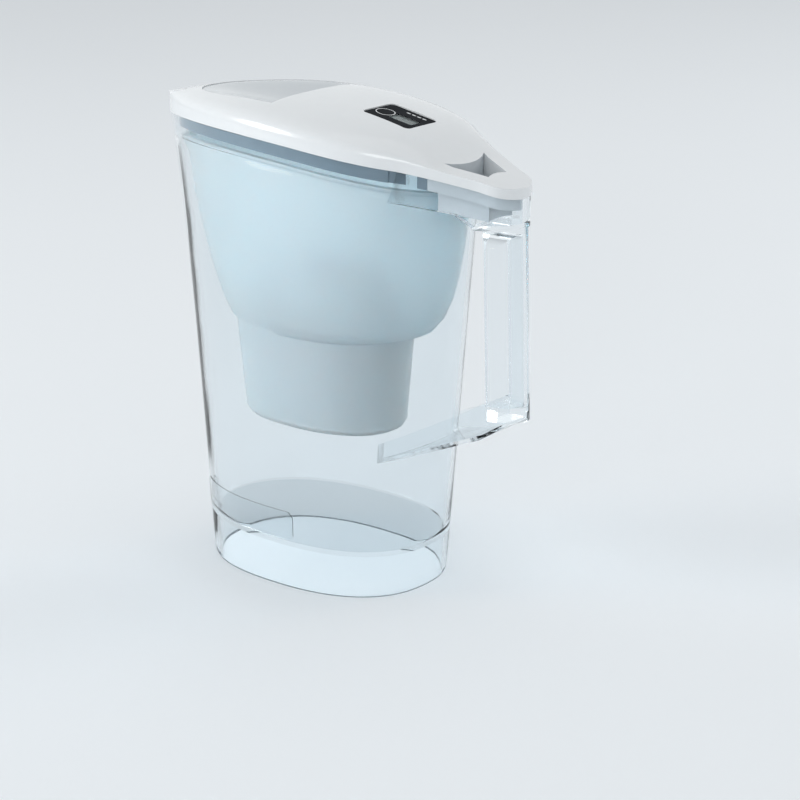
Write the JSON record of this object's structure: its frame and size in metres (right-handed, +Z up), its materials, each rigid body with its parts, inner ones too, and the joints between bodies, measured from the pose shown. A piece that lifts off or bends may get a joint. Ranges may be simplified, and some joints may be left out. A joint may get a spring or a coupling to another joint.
{
  "type": "water filter pitcher with flip lid",
  "caption": "Slim clear water filter jug with a looped handle, frosted reservoir, oval filter cartridge, flip-up fill flap, spout flap and a replacement timer in the lid.",
  "frame": {"origin": "centre of the bounding box on the surface the jug stands on", "axes": "+X from the spout to the handle, +Y across the width, +Z up"},
  "size_m": [0.258, 0.109, 0.2747],
  "materials": {
    "clear_plastic": "clear, glossy",
    "frosted_plastic": "frosted, translucent",
    "white_plastic": "glossy",
    "cartridge_white": "satin",
    "pull_ring_blue": "satin",
    "soft_seal": "soft, matte",
    "screen_mesh": "fine woven mesh",
    "granules": "dark grains",
    "timer_shell": "satin",
    "timer_black": "glossy",
    "timer_clear": "clear, glossy",
    "display_glass": "liquid crystal, matte reflector",
    "board_green": "solder mask",
    "contact_rubber": "matte",
    "steel_bright": "bright"
  },
  "bodies": {
    "jug": {"tank": "clear_plastic", "handle": "clear_plastic"},
    "reservoir_body": {"reservoir": "frosted_plastic"},
    "lid_body": {"lid": "white_plastic"},
    "fill_flap_body": {"fill_flap": "white_plastic"},
    "spout_flap_body": {"spout_flap": "white_plastic"},
    "cartridge": {"cartridge_housing": "cartridge_white", "cartridge_cap": "cartridge_white", "cartridge_lip_seal": "soft_seal", "upper_screen": "screen_mesh", "lower_screen": "screen_mesh", "filter_granules": "granules"},
    "pull_ring": {"cartridge_pull_ring": "pull_ring_blue"},
    "timer": {"timer_case": "timer_shell", "timer_face": "timer_black", "timer_window": "timer_clear", "timer_display": "display_glass", "timer_dome_switch": "steel_bright", "timer_board": "board_green", "timer_contact_strip": "contact_rubber", "timer_coin_cell": "steel_bright", "timer_cell_clip": "steel_bright"},
    "button": {"timer_button": "timer_black"}
  },
  "joints": [
    {"name": "reservoir_lift", "type": "slide", "parent": "jug", "child": "reservoir_body", "axis": [0, 0, 1], "range_m": [0, 0.06]},
    {"name": "lid_lift", "type": "slide", "parent": "reservoir_body", "child": "lid_body", "axis": [0, 0, 1], "range_m": [0, 0.04]},
    {"name": "fill_flap_hinge", "type": "hinge", "parent": "lid_body", "child": "fill_flap_body", "pos_m": [-0.0219, 0, 0.26973], "axis": [0, 1, 0], "range_deg": [0, 80]},
    {"name": "spout_flap_hinge", "type": "hinge", "parent": "lid_body", "child": "spout_flap_body", "pos_m": [-0.1089, 0, 0.26356], "axis": [0, 1, 0], "range_deg": [0, 55]},
    {"name": "cartridge_lift", "type": "slide", "parent": "reservoir_body", "child": "cartridge", "axis": [0, 0, 1], "range_m": [0, 0.04]},
    {"name": "pull_ring_hinge", "type": "hinge", "parent": "cartridge", "child": "pull_ring", "pos_m": [-0.0195, 0, 0.1784], "axis": [0, -1, 0], "range_deg": [0, 90]},
    {"name": "timer_lift", "type": "slide", "parent": "lid_body", "child": "timer", "axis": [0.1908, 0, 0.9816], "range_m": [0, 0.015]},
    {"name": "timer_button_press", "type": "slide", "parent": "timer", "child": "button", "axis": [-0.1908, 0, -0.9816], "range_m": [0, 0.0005], "stiffness_N_per_m": 1500, "springref_m": -0.0002}
  ]
}
